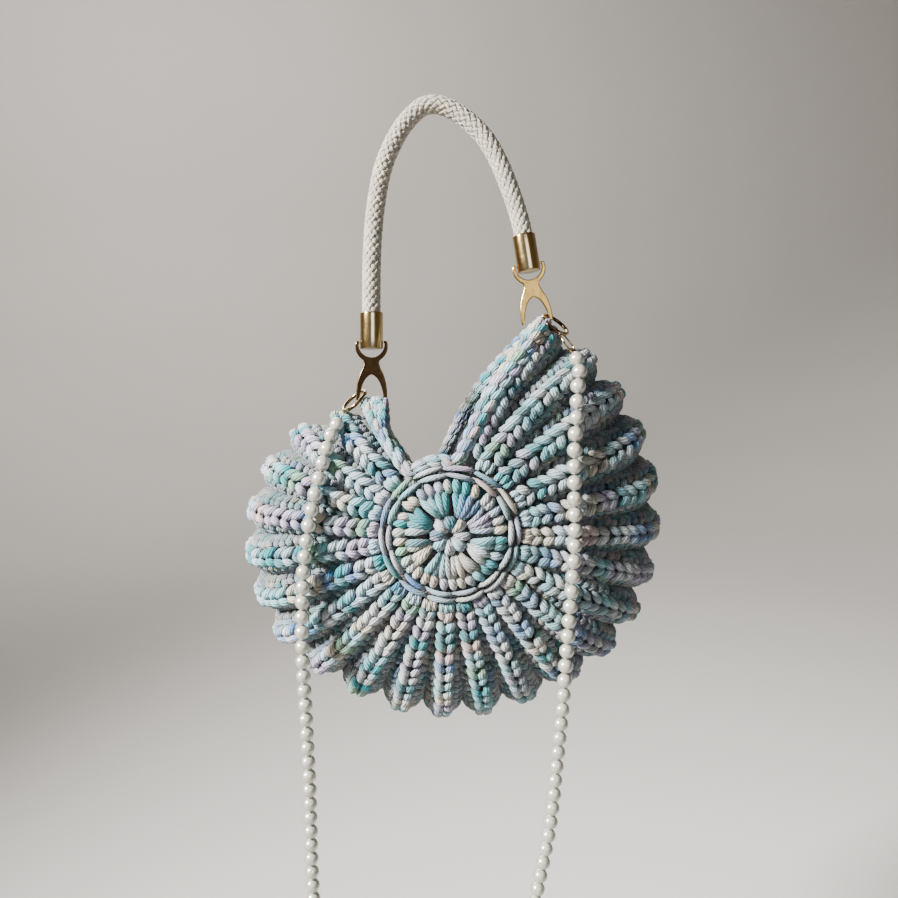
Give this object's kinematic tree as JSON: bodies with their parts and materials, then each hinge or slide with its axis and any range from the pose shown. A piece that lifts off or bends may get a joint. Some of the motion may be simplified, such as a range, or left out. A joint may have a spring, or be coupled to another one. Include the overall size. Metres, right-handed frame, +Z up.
{
  "type": "crocheted shell handbag",
  "caption": "Hollow ribbed shell-shaped handbag with a notched mouth, a looped rope handle on metal clips and a long bead strap.",
  "frame": {"origin": "underside of the rope handle at its highest point, where a hook bears, with the bag hanging", "axes": "+Z up along the hanging bag, -Y out of the front disc, +X to the viewer's right, towards the taller ear"},
  "size_m": [0.2746, 0.1117, 0.7593],
  "materials": {
    "yarn": "matt variegated cotton cord",
    "yarn_disc": "matt variegated cotton cord",
    "yarn_rim": "matt variegated cotton cord",
    "rope": "braided off-white cotton rope",
    "brass": "polished light gold",
    "pearl": "pearl coating"
  },
  "bodies": {
    "root": {"ribbed_body": "yarn", "front_disc": "yarn_disc", "back_disc": "yarn_disc", "mouth_rim": "yarn_rim", "handle_rope": "rope", "cup_left": "brass", "cup_right": "brass", "clip_left": "brass", "clip_right": "brass", "strap_ring_left": "brass", "strap_ring_right": "brass", "pearl_strand_left": "pearl", "pearl_strand_right": "pearl"}
  },
  "joints": []
}
